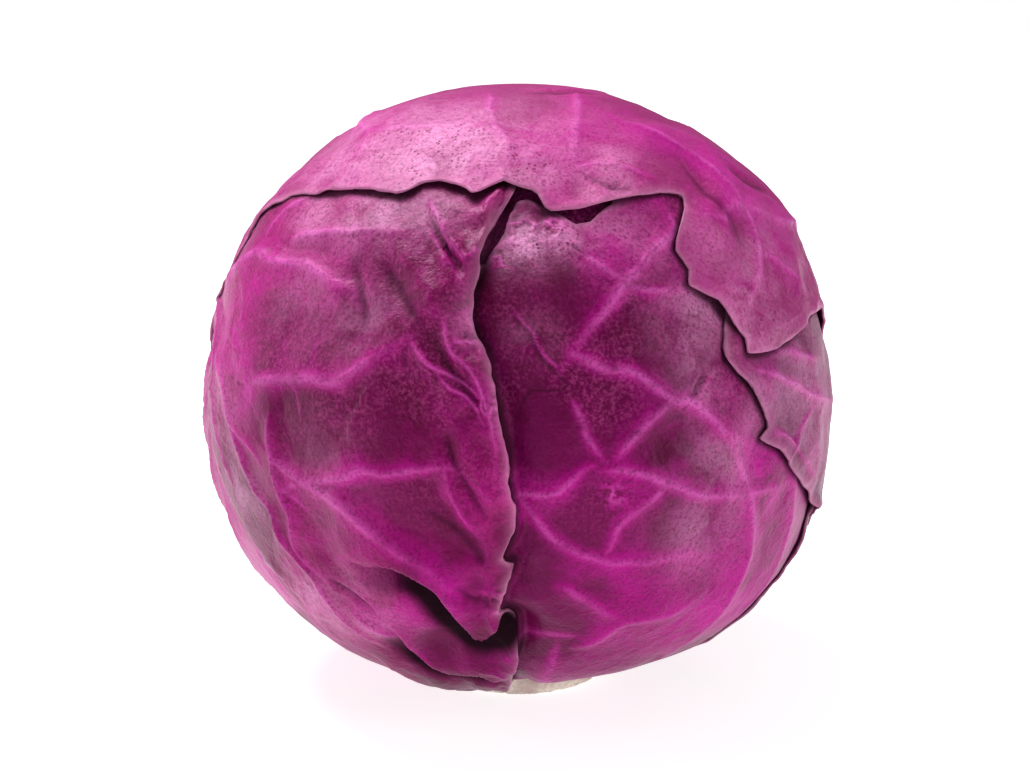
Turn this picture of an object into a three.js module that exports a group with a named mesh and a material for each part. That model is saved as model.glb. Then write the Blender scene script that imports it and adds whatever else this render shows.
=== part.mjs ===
// A round red cabbage head standing on its cut stem.
// Millimetres, +Z up. The origin is the centre of the stem's flat cut face, and -Y is the front.
// Around a packed heart lie six outer leaves, each one closed sheet with its own margin. Every leaf
// follows the leaves below it, so that it steps over their margins and never cuts through them.

import * as THREE from 'three';
import { mergeVertices } from 'three/addons/utils/BufferGeometryUtils.js';

// Head
const HEAD_RADIUS = 80.5;
const HEAD_CENTRE_HEIGHT = 77;
const UNDERSIDE_HEIGHT = 4;       // where the flattened underside of the outer leaves lies
const UNDERSIDE_ROUNDING = 12;    // how gently the round head runs into it
const SAG_PLACE = [-18, -62];     // longitude and latitude where a leaf base sags to the table
const SAG_DEPTH = 3.1;
const SAG_WIDTH = 26;             // degrees
const CLOSE_FIT = 0.3;            // clearance between pieces that touch

// Leaves
const LEAF_THICKNESS = 1.2;
const LEAF_GAP = 0.9;
const GRID_STEP = 11;             // rough size of the grid on a leaf
const STEP_START = 3;             // a leaf keeps its height this far beyond a margin below it,
const STEP_WIDTH = 24;            // and has come down to the next leaf at this distance from it
const LEVELLING_WIDTH = 28;       // the heart makes room for a leaf over this width at its margin

// Stem
const STEM_RADIUS = 23;
const STEM_FLARE = 1.5;           // extra radius where the leaf bases begin
const STEM_HEIGHT = 9;
const STEM_SIDES = 40;
const STEM_WAVINESS = 0.035;      // how far the outline strays from a circle, as a share

const HEART_DETAIL = 8;           // subdivisions of the icosahedron that the heart is made from

// Broad swellings and hollows of the whole head: longitude, latitude, height, width in degrees.
const SWELLINGS = [
  [100, 38, 2.4, 20],
  [78, -34, 2.4, 24],
  [-72, -45, 1.2, 26],
  [92, 7, -1.4, 11],
  [112, 50, -1.4, 12],
  [180, 76, -1.6, 20],
  [-3, 5, -1.4, 16],
];

// Leaves from the innermost to the outermost. Looseness is extra room under the leaf. The margin is
// a list of longitudes and latitudes in degrees, around the leaf, seen from its middle.
const LEAVES = [
  {
    name: 'left_back_leaf',
    looseness: 0,
    colour: 0xa8347f,
    middle: [-95, -14],
    margin: [
      [-50, 0], [-38, -25], [-26, -50], [-24, -70], [-50, -70], [-75, -70], [-100, -70],
      [-128, -69], [-142, -52], [-149, -30], [-150, -5], [-145, 25], [-125, 48], [-95, 54],
      [-68, 42], [-52, 22],
    ],
  },
  {
    name: 'right_wrapper_leaf',
    looseness: 0,
    colour: 0x9a2070,
    middle: [38, -8],
    margin: [
      [-8, 37], [-4, 43], [0, 48], [5, 44], [9, 42], [14, 44], [19, 45], [23, 47], [35, 56],
      [62, 60], [85, 45], [103, 20], [108, -8], [102, -38], [94, -60], [86, -70], [62, -70],
      [38, -70], [14, -70], [-12, -68], [-22, -45], [-30, -20], [-30, 8], [-20, 26],
    ],
  },
  {
    name: 'left_wrapper_leaf',
    looseness: 0.8,
    colour: 0x8e3160,
    middle: [-42, 2],
    margin: [
      [2, 58], [-3, 49], [-7, 43], [-8, 36], [-9, 28], [-5, 18], [-3, 9], [-2, 0], [-1, -8],
      [-3, -14], [-1, -17], [-4, -25], [-1, -31], [0, -38], [-2, -50], [-4, -66], [-20, -70],
      [-36, -68], [-39, -57], [-44, -45], [-48, -36], [-53, -28], [-60, -22], [-67, -17],
      [-74, -8], [-79, 3], [-83, 16], [-86, 30], [-80, 46], [-55, 60], [-25, 64],
    ],
  },
  {
    name: 'right_back_leaf',
    looseness: 0.4,
    colour: 0x6e1f58,
    middle: [100, -26],
    margin: [
      [72, -18], [74, -24], [72, -30], [67, -38], [68, -48], [72, -58], [80, -70], [100, -71],
      [122, -70], [136, -55], [142, -30], [138, -5], [122, 12], [100, 16], [82, 6], [74, -8],
    ],
  },
  {
    name: 'right_side_leaf',
    looseness: 0.8,
    colour: 0x8c4072,
    middle: [108, 0],
    margin: [
      [42, 24], [39, 17], [41, 15], [46, 8], [48, 4], [46, 2], [51, -1], [57, -7], [64, -12],
      [76, -19], [86, -26], [96, -38], [105, -54], [114, -70], [135, -71], [158, -70], [172, -60],
      [174, -30], [170, 5], [156, 35], [125, 54], [90, 56], [62, 46], [48, 34],
    ],
  },
  {
    name: 'crown_leaf',
    looseness: 1.6,
    colour: 0xb45f96,
    middle: [145, 24],
    margin: [
      [-80, 21], [-80, 27], [-84, 33], [-80, 38], [-67, 43], [-50, 47], [-32, 48], [-28, 51],
      [-20, 52], [-14, 50], [-11, 49], [-8, 51], [0, 52], [4, 50], [7, 46], [14, 46], [32, 48],
      [44, 47], [43, 43], [35, 39], [36, 33], [34, 31], [40, 27], [45, 21], [45, 17], [52, 17],
      [60, 19], [68, 21], [80, 21], [90, 13], [99, -2], [107, -20], [116, -40], [128, -58], [140, -70],
      [165, -71], [-168, -71], [-146, -71], [-120, -69], [-124, -48], [-116, -26], [-100, -5],
      [-88, 12],
    ],
  },
];

const DEGREE = Math.PI / 180;
const LEAF_PITCH = LEAF_THICKNESS + LEAF_GAP;
const UP = new THREE.Vector3(0, 0, 1);

/** The unit vector from the head's centre towards a longitude and latitude. */
function towards([longitude, latitude]) {
  const across = Math.cos(latitude * DEGREE);
  return new THREE.Vector3(
    Math.sin(longitude * DEGREE) * across,
    -Math.cos(longitude * DEGREE) * across,
    Math.sin(latitude * DEGREE),
  );
}

/** The point at a distance from the head's centre. */
function pointAt(direction, distance) {
  const point = direction.clone().multiplyScalar(distance);
  point.z += HEAD_CENTRE_HEIGHT;
  return point;
}

/** The larger of two heights, with a rounded corner of the given size between them. */
function smoothMax(a, b, rounding) {
  const blend = Math.max(rounding - Math.abs(a - b), 0) / rounding;
  return Math.max(a, b) + (blend * blend * rounding) / 4;
}

/** The distance along a direction, shortened so that it stays above a level underside. */
function stopAtUnderside(direction, distance, height, rounding) {
  if (direction.z >= -0.05) return distance;
  const reached = HEAD_CENTRE_HEIGHT + distance * direction.z;
  return (smoothMax(reached, height, rounding) - HEAD_CENTRE_HEIGHT) / direction.z;
}

/** A rounded bump of height 1 around a place, fading over a width in degrees. */
function bump(direction, place, width) {
  const away = direction.angleTo(towards(place)) / (width * DEGREE);
  return Math.exp(-away * away);
}

/** How far the outermost leaves lie from the head's centre. */
function headRadius(direction) {
  let radius = HEAD_RADIUS;
  for (const [longitude, latitude, height, width] of SWELLINGS) {
    radius += height * bump(direction, [longitude, latitude], width);
  }
  const underside = UNDERSIDE_HEIGHT - SAG_DEPTH * bump(direction, SAG_PLACE, SAG_WIDTH);
  return stopAtUnderside(direction, radius, underside, UNDERSIDE_ROUNDING);
}

/** A leaf's middle with two directions along its surface, and its margin as angles around it. */
function surveyLeaf({ middle, margin }) {
  const centre = towards(middle);
  const along = new THREE.Vector3().crossVectors(UP, centre).normalize();
  const across = new THREE.Vector3().crossVectors(centre, along);
  const corners = margin.map((place) => {
    const direction = towards(place);
    return {
      direction,
      bearing: Math.atan2(direction.dot(across), direction.dot(along)),
      reach: centre.angleTo(direction),
    };
  });
  corners.sort((a, b) => a.bearing - b.bearing);
  const edges = corners.map((corner, index) => {
    const next = corners[(index + 1) % corners.length];
    return new THREE.Line3(corner.direction, next.direction);
  });
  return { centre, along, across, corners, edges };
}

/** The angle from a leaf's middle to its margin, on a bearing around the middle. */
function reachOn({ corners }, bearing) {
  const after = corners.findIndex((corner) => corner.bearing > bearing);
  const next = corners[after < 0 ? 0 : after];
  const last = corners[after < 0 ? corners.length - 1 : (after + corners.length - 1) % corners.length];
  const turn = 2 * Math.PI;
  const span = (next.bearing - last.bearing + turn) % turn;
  const passed = (bearing - last.bearing + turn) % turn;
  return last.reach + ((next.reach - last.reach) * passed) / span;
}

/** How far inside a leaf's margin a direction lies, in millimetres; negative outside. */
function insideMargin({ edges, ...survey }, direction) {
  const bearing = Math.atan2(direction.dot(survey.across), direction.dot(survey.along));
  const inside = reachOn(survey, bearing) > survey.centre.angleTo(direction);
  const nearest = new THREE.Vector3();
  const distances = edges.map((edge) => {
    edge.closestPointToPoint(direction, true, nearest);
    return nearest.distanceTo(direction);
  });
  return Math.min(...distances) * (inside ? HEAD_RADIUS : -HEAD_RADIUS);
}

const surveys = LEAVES.map(surveyLeaf);

/** How far the packed heart lies from the head's centre, leaving room for the leaves on it. */
function heartRadius(direction) {
  let layers = 0;
  for (const survey of surveys) {
    const inside = insideMargin(survey, direction);
    layers += THREE.MathUtils.smoothstep(inside, -LEVELLING_WIDTH, LEVELLING_WIDTH);
  }
  return headRadius(direction) - LEAF_PITCH * layers;
}

/** How far a leaf's inner face lies from the head's centre. */
function leafInnerRadius(order, direction) {
  let radius = heartRadius(direction) + LEAF_GAP + LEAVES[order].looseness;
  for (const survey of surveys.slice(0, order)) {
    const inside = insideMargin(survey, direction);
    radius += LEAF_PITCH * THREE.MathUtils.smoothstep(inside, -STEP_WIDTH, -STEP_START);
  }
  return radius;
}

/** A geometry that keeps only shared positions, moved point by point. */
function reshape(geometry, move) {
  geometry.deleteAttribute('normal');
  geometry.deleteAttribute('uv');
  const welded = mergeVertices(geometry);
  const position = welded.getAttribute('position');
  const point = new THREE.Vector3();
  for (let index = 0; index < position.count; index += 1) {
    point.fromBufferAttribute(position, index);
    position.setXYZ(index, ...move(point));
  }
  welded.computeVertexNormals();
  return welded;
}

/** The bearing of a point of a square, when the square's rings are rounded to circles. */
function roundedBearing(x, y) {
  const eighth = Math.PI / 4;
  if (x === 0 && y === 0) return 0;
  if (Math.abs(x) > Math.abs(y)) {
    const turned = (eighth * y) / x;
    return x > 0 ? turned : turned + Math.PI * Math.sign(y || 1);
  }
  return Math.sign(y) * 2 * eighth - (eighth * x) / y;
}

/** One leaf: a flat slab whose square rings are rounded to circles and laid over the head. */
function leafGeometry(order) {
  const { centre, along, across, corners } = surveys[order];
  const longest = Math.max(...corners.map(({ reach }) => reach)) * HEAD_RADIUS;
  const steps = 2 * Math.ceil(longest / GRID_STEP);
  const slab = new THREE.BoxGeometry(2, 2, 2, steps, steps, 1);
  return reshape(slab, ({ x, y, z }) => {
    const bearing = roundedBearing(x, y);
    const angle = Math.max(Math.abs(x), Math.abs(y)) * reachOn(surveys[order], bearing);
    const sideways = along.clone().multiplyScalar(Math.cos(bearing));
    sideways.addScaledVector(across, Math.sin(bearing));
    const direction = centre.clone().multiplyScalar(Math.cos(angle));
    direction.addScaledVector(sideways, Math.sin(angle));
    const lift = z > 0 ? LEAF_THICKNESS : 0;
    return pointAt(direction, leafInnerRadius(order, direction) + lift);
  });
}

/** The packed heart, flat where it sits on the stem. */
function heartGeometry() {
  return reshape(new THREE.IcosahedronGeometry(1, HEART_DETAIL), (point) => {
    const direction = point.clone().normalize();
    const seat = STEM_HEIGHT + CLOSE_FIT;
    const radius = stopAtUnderside(direction, heartRadius(direction), seat, CLOSE_FIT);
    return pointAt(direction, radius);
  });
}

/** The cut stump: a short flared disc with a slightly uneven outline. */
function stemGeometry() {
  const stump = new THREE.CylinderGeometry(1, 1, STEM_HEIGHT, STEM_SIDES, 1);
  stump.rotateX(Math.PI / 2);
  return reshape(stump, ({ x, y, z }) => {
    const height = z + STEM_HEIGHT / 2;
    const around = Math.atan2(y, x);
    const wave = 1 + STEM_WAVINESS * Math.sin(3 * around + 1) * Math.cos(2 * around);
    const radius = (STEM_RADIUS + (STEM_FLARE * height) / STEM_HEIGHT) * wave;
    return [x * radius, y * radius, height];
  });
}

/** A named mesh with a matt plant surface of one colour. */
function piece(name, geometry, color, roughness) {
  const material = new THREE.MeshStandardMaterial({ color, roughness, metalness: 0 });
  const mesh = new THREE.Mesh(geometry, material);
  mesh.name = name;
  return mesh;
}

const cabbage = new THREE.Group();
cabbage.name = 'red_cabbage';
cabbage.add(piece('stem', stemGeometry(), 0xcfc0b4, 0.85));
cabbage.add(piece('heart', heartGeometry(), 0x6a1a4c, 0.5));
LEAVES.forEach(({ name, colour }, order) => {
  cabbage.add(piece(name, leafGeometry(order), colour, 0.42));
});

export default cabbage;
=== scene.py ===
"""A round red cabbage head on its cut stem: wrapper leaves with veins, folds and torn margins."""

import math

import bpy
import numpy as np
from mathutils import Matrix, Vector


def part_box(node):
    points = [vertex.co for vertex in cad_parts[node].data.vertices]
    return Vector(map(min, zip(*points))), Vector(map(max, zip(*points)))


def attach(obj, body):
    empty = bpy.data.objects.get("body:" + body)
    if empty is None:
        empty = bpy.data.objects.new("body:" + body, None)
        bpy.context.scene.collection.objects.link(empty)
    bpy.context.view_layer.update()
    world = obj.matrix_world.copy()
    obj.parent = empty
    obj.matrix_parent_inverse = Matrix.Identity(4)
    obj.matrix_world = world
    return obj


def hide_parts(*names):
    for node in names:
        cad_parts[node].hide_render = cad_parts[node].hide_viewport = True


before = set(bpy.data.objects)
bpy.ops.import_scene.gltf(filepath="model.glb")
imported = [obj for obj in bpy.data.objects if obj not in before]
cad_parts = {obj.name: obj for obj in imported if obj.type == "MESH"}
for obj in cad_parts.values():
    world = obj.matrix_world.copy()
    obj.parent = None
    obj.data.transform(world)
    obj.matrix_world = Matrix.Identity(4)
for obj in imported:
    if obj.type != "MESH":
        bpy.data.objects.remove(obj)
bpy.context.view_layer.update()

# ----------------------------------------------------------------------
# Sizes, in millimetres. A place is a longitude and a latitude in degrees around the head's
# centre: longitude 0 is the front (-Y), positive to the right.

MM = 0.001
HEAD_SHARE = 0.53                # the outer leaves' radius as a share of the heart's width
CENTRE_SHARE = 0.4984            # the head's centre as a share of the heart's height
STEM_SHARE = 0.47                # the cut face's radius as a share of the stem's width
heart_low, heart_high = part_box("heart")
stem_low, stem_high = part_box("stem")
HEAD_RADIUS = HEAD_SHARE * (heart_high[0] - heart_low[0]) / MM
CENTRE_HEIGHT = CENTRE_SHARE * heart_high[2] / MM
STEM_RADIUS = STEM_SHARE * (stem_high[0] - stem_low[0]) / MM
STEM_HEIGHT = stem_high[2] / MM
STEM_HIDDEN = 2.0                # how far the stump goes on inside the head
CUT_SHARE = 0.965                # the flat cut's share of the stump's radius

UNDERSIDE_HEIGHT = 4.0
UNDERSIDE_ROUNDING = 12.0
LOWEST_LEAF = 0.35
SAG_PLACE = (-18, -62)          # where the leaves hang nearly to the floor
SAG_DEPTH = 3.1
SAG_WIDTH = 26
RISE_PLACE = (25, -60)          # where the leaves stand clear of the stem, so that it shows
RISE_HEIGHT = 7.6
RISE_WIDTH = 23

LEAF_THICKNESS = 0.9
LEAF_GAP = 0.25
LEAF_PITCH = LEAF_THICKNESS + LEAF_GAP
STEP_START = 0.5                # how far outside a margin the leaf above starts to step down,
STEP_WIDTH = 9.0                # and how far out it is all the way down
LEVELLING_WIDTH = 26.0          # how far the pile's thickness is evened out around a margin
HEART_CLEARANCE = 0.3
COVERED_RELIEF = 0.2            # how much of a leaf's relief is left under the leaves above it

# Broad swellings and hollows of the whole head: longitude, latitude, height, width in degrees.
SWELLINGS = (
    (100, 38, 2.6, 18),
    (78, -34, 2.4, 24),
    (-72, -45, 1.2, 26),
    (92, 7, -1.4, 11),
    (112, 50, -1.4, 12),
    (180, 76, -1.6, 20),
    (-3, 5, -1.2, 16),
)

# ----------------------------------------------------------------------
# Directions, distances and noise, for whole arrays of points at once.


def towards(places):
    """Unit vectors from the head's centre for longitudes and latitudes."""
    longitude, latitude = np.radians(np.asarray(places, float).reshape(-1, 2)).T
    across = np.cos(latitude)
    return np.stack([np.sin(longitude) * across, -np.cos(longitude) * across, np.sin(latitude)], 1)


def unit(vectors):
    return vectors / np.linalg.norm(vectors, axis=-1, keepdims=True)


def smoothstep(value, low, high):
    t = np.clip((value - low) / (high - low), 0, 1)
    return t * t * (3 - 2 * t)


def bump(directions, place, width):
    """A rounded bump of height 1 around a place, fading over a width in degrees."""
    cosine = np.clip(directions @ towards(place)[0], -1, 1)
    return np.exp(-((np.arccos(cosine) / math.radians(width)) ** 2))


class Noise:
    """Smooth noise in space from a seeded lattice, between -1 and 1."""

    def __init__(self, seed):
        self.lattice = np.random.default_rng(seed).uniform(-1, 1, (32, 32, 32))

    def single(self, points, size):
        where = points / size + 500.5
        cell = np.floor(where).astype(int)
        part = where - cell
        part = part * part * (3 - 2 * part)
        total = 0
        for corner in range(8):
            offset = np.array([corner & 1, (corner >> 1) & 1, corner >> 2])
            share = np.prod(np.where(offset, part, 1 - part), axis=1)
            index = (cell + offset) % 32
            total = total + share * self.lattice[index[:, 0], index[:, 1], index[:, 2]]
        return total

    def __call__(self, points, size, octaves=1):
        """Noise of a size in millimetres over directions or points, with finer octaves added."""
        points = np.asarray(points) * HEAD_RADIUS
        total = 0
        for octave in range(octaves):
            total = total + 0.5 ** octave * self.single(points, size / 2 ** octave)
        return total


class Line:
    """A line over the head through directions, rounded between them."""

    def __init__(self, points, closed=False, rounded=True):
        if rounded:
            points = self.round_off(points, closed)
        if closed:
            points = np.concatenate([points, points[:1]])
        self.points = unit(points)
        lengths = np.linalg.norm(np.diff(self.points, axis=0), axis=1)
        self.starts = np.concatenate([[0], np.cumsum(lengths)])

    @staticmethod
    def round_off(points, closed, steps=4):
        before = np.roll(points, 1, 0)
        after = np.roll(points, -1, 0)
        later = np.roll(points, -2, 0)
        if not closed:
            before[0] = points[0]
            after[-1] = points[-1]
            later[-2:] = points[-1]
        t = (np.arange(steps) / steps)[:, None, None]
        curve = 0.5 * (
            2 * points + (after - before) * t
            + (2 * before - 5 * points + 4 * after - later) * t ** 2
            + (3 * points - before - 3 * after + later) * t ** 3
        )
        curve = curve.transpose(1, 0, 2).reshape(-1, 3)
        return curve if closed else curve[: 1 - steps]

    def measure(self, directions, reach=400.0):
        """Distance in mm, signed side (left of the line is +1) and share of the line passed."""
        count = len(directions)
        distance = np.full(count, reach / HEAD_RADIUS)
        side = np.ones(count)
        passed = np.zeros(count)
        middle = unit(self.points.mean(0))
        spread = np.linalg.norm(self.points - middle, axis=1).max() + reach / HEAD_RADIUS
        near = np.nonzero(np.linalg.norm(directions - middle, axis=1) < spread)[0]
        if not len(near):
            return distance * HEAD_RADIUS, side, passed
        close = directions[near]
        best = distance[near]
        best_side = side[near]
        best_passed = passed[near]
        for start, end, offset in zip(self.points, self.points[1:], self.starts):
            edge = end - start
            length = np.linalg.norm(edge)
            if length < 1e-9:
                continue
            t = np.clip((close - start) @ edge / length ** 2, 0, 1)
            away = np.linalg.norm(close - start - t[:, None] * edge, axis=1)
            closer = away < best
            best = np.where(closer, away, best)
            left = np.sign(close @ np.cross(start, end))
            best_side = np.where(closer, left, best_side)
            best_passed = np.where(closer, (offset + t * length) / self.starts[-1], best_passed)
        distance[near] = best
        side[near] = best_side
        passed[near] = best_passed
        return distance * HEAD_RADIUS, side, passed


# ----------------------------------------------------------------------
# The head's broad form.


def stop_at_underside(directions, distance, height, rounding):
    """Distances shortened so that they stay above a level underside."""
    down = np.minimum(directions[:, 2], -0.05)
    reached = CENTRE_HEIGHT + distance * down
    blend = np.maximum(rounding - np.abs(reached - height), 0) / rounding
    level = np.maximum(reached, height) + blend * blend * rounding / 4
    return np.where(directions[:, 2] < -0.05, (level - CENTRE_HEIGHT) / down, distance)


def head_radius(directions):
    """How far the outermost leaves lie from the head's centre."""
    radius = np.full(len(directions), HEAD_RADIUS)
    for longitude, latitude, height, width in SWELLINGS:
        radius += height * bump(directions, (longitude, latitude), width)
    underside = UNDERSIDE_HEIGHT - SAG_DEPTH * bump(directions, SAG_PLACE, SAG_WIDTH)
    underside += RISE_HEIGHT * bump(directions, RISE_PLACE, RISE_WIDTH)
    return stop_at_underside(directions, radius, underside, UNDERSIDE_ROUNDING)


class Globe:
    """Values kept on a longitude and latitude grid and read between its points."""

    STEP = 0.5

    def __init__(self):
        longitudes = np.arange(-180, 180 + self.STEP, self.STEP)
        latitudes = np.arange(-90, 90 + self.STEP, self.STEP)
        self.shape = (len(latitudes), len(longitudes))
        grid = np.stack(np.meshgrid(longitudes, latitudes), -1).reshape(-1, 2)
        self.directions = towards(grid)

    def read(self, values, directions):
        values = values.reshape(self.shape)
        longitude = np.degrees(np.arctan2(directions[:, 0], -directions[:, 1]))
        latitude = np.degrees(np.arcsin(np.clip(directions[:, 2], -1, 1)))
        column = (longitude + 180) / self.STEP
        row = (latitude + 90) / self.STEP
        left = np.clip(column.astype(int), 0, self.shape[1] - 2)
        low = np.clip(row.astype(int), 0, self.shape[0] - 2)
        right_share = column - left
        high_share = row - low
        lower = values[low, left] * (1 - right_share) + values[low, left + 1] * right_share
        upper = values[low + 1, left] * (1 - right_share) + values[low + 1, left + 1] * right_share
        return lower * (1 - high_share) + upper * high_share


GLOBE = Globe()

# ----------------------------------------------------------------------
# The leaves, from the innermost to the outermost. "steps" is the outer face's grid, "ragged" how
# far in mm its margin strays, "lift" how far in mm the margin stands off the leaf below. A
# margin is a ring of places around the leaf's middle, and follows the margin of the CAD leaf.

LEAVES = {
    "left_back_leaf": dict(
        slot="magenta_leaf", middle=(-95, -14), steps=180, ragged=0.3, lift=0.3, seed=11,
        margin=(
            (-50, 0), (-38, -25), (-26, -50), (-24, -70), (-50, -70), (-75, -70), (-100, -70),
            (-128, -69), (-142, -52), (-149, -30), (-150, -5), (-145, 25), (-125, 48), (-95, 54),
            (-68, 42), (-52, 22),
        ),
    ),
    "right_wrapper_leaf": dict(
        slot="magenta_leaf", middle=(38, -8), steps=296, ragged=0.5, lift=0.3, seed=12,
        margin=(
            (-8, 37), (-4, 43), (-3, 46), (-1, 49), (2, 49.5), (6, 48), (10, 45.5), (13, 43.4),
            (16, 44), (19, 45.5), (23, 47), (35, 56), (62, 60), (85, 45), (103, 20), (108, -8),
            (102, -38), (94, -60), (86, -70), (62, -70), (38, -70), (14, -70), (-12, -68),
            (-22, -45), (-30, -20), (-30, 8), (-20, 26),
        ),
    ),
    "left_wrapper_leaf": dict(
        slot="wine_leaf", middle=(-42, 2), steps=296, ragged=0.6, lift=1.0, seed=13,
        margin=(
            (2, 58), (-2, 50), (-5, 47), (-7, 43), (-8, 39), (-8, 36), (-9, 32), (-9, 27), (-8, 24),
            (-6, 22), (-5, 18), (-4, 14), (-3, 9), (-2, 5), (-2, 0), (-1, -4), (-1, -9), (-2, -12),
            (-3, -14), (-1, -16), (-2, -18), (-3, -21), (-4, -25), (-1, -29), (-1, -33), (0, -38),
            (-2, -46), (-3, -56), (-4, -66), (-14, -67), (-24, -64), (-31, -55), (-36, -45),
            (-41, -42), (-46, -40), (-48, -36), (-48, -31), (-52, -27), (-59, -24), (-65, -18),
            (-70, -14), (-75, -4), (-77, 5), (-82, 16), (-86, 30), (-80, 46), (-55, 60), (-25, 64),
        ),
    ),
    "right_back_leaf": dict(
        slot="dull_leaf", middle=(100, -26), steps=130, ragged=0.5, lift=0.8, seed=14,
        margin=(
            (72, -18), (74, -24), (72, -30), (67, -38), (68, -48), (72, -58), (80, -70), (100, -71),
            (122, -70), (136, -55), (142, -30), (138, -5), (122, 12), (100, 16), (82, 6), (74, -8),
        ),
    ),
    "right_side_leaf": dict(
        slot="dull_leaf", middle=(108, 0), steps=220, ragged=0.8, lift=1.0, seed=15,
        margin=(
            (42, 24), (39, 17), (41, 15), (44, 12), (46, 8), (48, 4), (46, 2), (51, -1), (57, -7),
            (64, -12), (76, -19), (86, -26), (96, -38), (105, -54), (114, -70), (135, -71),
            (158, -70), (172, -60), (174, -30), (170, 5), (156, 35), (125, 54), (90, 56), (62, 46),
            (48, 34),
        ),
    ),
    "crown_leaf": dict(
        slot="crown_leaf", middle=(145, 24), steps=300, ragged=0.45, lift=0.9, seed=16,
        margin=(
            (-80, 21), (-80, 27), (-84, 33), (-80, 38), (-74, 41), (-67, 43), (-59, 45), (-50, 47),
            (-40, 48), (-32, 48), (-29.5, 49), (-27.5, 51), (-22, 52), (-17, 51), (-14, 50),
            (-11.5, 49), (-7.5, 51), (-4, 52), (0, 51), (4, 50), (6, 47), (8, 46), (14, 46),
            (20, 47), (32, 48), (41, 48), (45, 47), (44, 45), (40.5, 42.5), (36, 39.5), (34, 37),
            (35, 35), (36, 33), (34.5, 30.5), (37.5, 28.5), (40, 27), (41, 25), (43, 22), (45, 20),
            (45, 17), (48, 16.5), (52, 16.5), (58, 17), (64, 18), (69, 19), (80, 18), (90, 13),
            (99, -2), (107, -20), (116, -40), (128, -58), (140, -70), (165, -71), (-168, -71),
            (-146, -71), (-120, -69), (-124, -48), (-116, -26), (-100, -5), (-88, 12),
        ),
    ),
}
ORDER = list(LEAVES)


class Outline:
    """A leaf's margin as angles around its middle."""

    def __init__(self, middle, margin):
        self.centre = towards(middle)[0]
        self.along = unit(np.cross((0, 0, 1), self.centre))
        self.across = np.cross(self.centre, self.along)
        corners = towards(margin)
        bearings = self.bearing(corners)
        order = np.argsort(bearings)
        self.bearings = bearings[order]
        self.reaches = np.arccos(np.clip(corners @ self.centre, -1, 1))[order]
        self.line = Line(corners, closed=True, rounded=False)
        self.turns = np.radians(np.arange(-180, 180, 0.5))
        shifts = np.radians(range(-20, 21, 2))
        self.soft_reaches = sum(self.reach(self.turns + shift) for shift in shifts) / len(shifts)

    def bearing(self, directions):
        return np.arctan2(directions @ self.across, directions @ self.along)

    def reach(self, bearings):
        return np.interp(bearings, self.bearings, self.reaches, period=2 * math.pi)

    def inside(self, directions):
        """How far inside the margin directions lie, in mm; negative outside."""
        angle = np.arccos(np.clip(directions @ self.centre, -1, 1))
        sign = np.where(self.reach(self.bearing(directions)) > angle, 1, -1)
        return sign * self.line.measure(directions)[0]

    def grid(self, steps, ragged, noise):
        """Directions of a square grid bent to fill the outline; its inner rings are smoother."""
        x, y = np.meshgrid(*[np.linspace(-1, 1, steps + 1)] * 2)
        x, y = x.ravel(), y.ravel()
        ring = np.maximum(np.abs(x), np.abs(y))
        safe_x = np.where(x == 0, 1, x)
        safe_y = np.where(y == 0, 1, y)
        eighth = math.pi / 4
        sideways = eighth * y / safe_x + np.where(x < 0, math.pi, 0)
        upright = 2 * eighth * np.sign(y) - eighth * x / safe_y
        bearing = np.where(np.abs(x) > np.abs(y), sideways, upright)
        soft_reach = np.interp(bearing, self.turns, self.soft_reaches, period=2 * math.pi)
        reach = soft_reach + (self.reach(bearing) - soft_reach) * ring ** 1.5
        angle = (1.3 * ring - 0.3 * ring ** 2) * reach
        edge = self.point(bearing, self.reach(bearing))
        stray = noise(edge, 5.0, 3) * ragged / HEAD_RADIUS
        return self.point(bearing, angle + stray * smoothstep(ring, 0.8, 1.0))

    def point(self, bearing, angle):
        tangent = np.cos(bearing)[:, None] * self.along + np.sin(bearing)[:, None] * self.across
        return np.cos(angle)[:, None] * self.centre + np.sin(angle)[:, None] * tangent


for leaf in LEAVES.values():
    leaf["outline"] = Outline(leaf["middle"], leaf["margin"])
    leaf["inside"] = leaf["outline"].inside(GLOBE.directions)

# ----------------------------------------------------------------------
# What each leaf's surface carries: veins, creases, folds, hollows, pale wax with painted sheen, and
# painted shade.
# A vein is (height, half width, steeper side, places): it stands up and is paler than the blade.
# The steeper side is 1 on the left of the line's way, -1 on its right, 0 for neither.

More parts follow.
